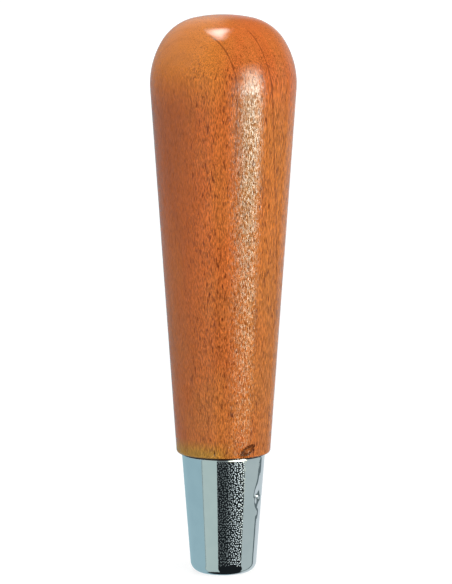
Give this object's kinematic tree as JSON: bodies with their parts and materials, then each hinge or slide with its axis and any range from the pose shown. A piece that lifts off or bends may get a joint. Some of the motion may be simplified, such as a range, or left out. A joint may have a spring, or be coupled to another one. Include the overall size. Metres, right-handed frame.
{
  "type": "wooden tool handle",
  "caption": "Turned, lacquered wooden handle with a tapered chromed ferrule, rounded at its end, and a threaded steel insert for the tang of a ring mandrel or a file.",
  "frame": {"origin": "centre of the ferrule's flat end, where the tang goes in", "axes": "+Z along the handle from the ferrule's end to the rounded butt; the visible punch mark lies 63.8 degrees from -Y towards +X"},
  "size_m": [0.0338, 0.0338, 0.13],
  "materials": {
    "lacquered_wood": "turned beech under a glossy orange-brown lacquer",
    "chromed_steel": "polished, with fine pits",
    "plain_steel": "dark, oiled, as machined"
  },
  "bodies": {
    "root": {"grip": "lacquered_wood", "ferrule": "chromed_steel", "tang_insert": "plain_steel"}
  },
  "joints": []
}
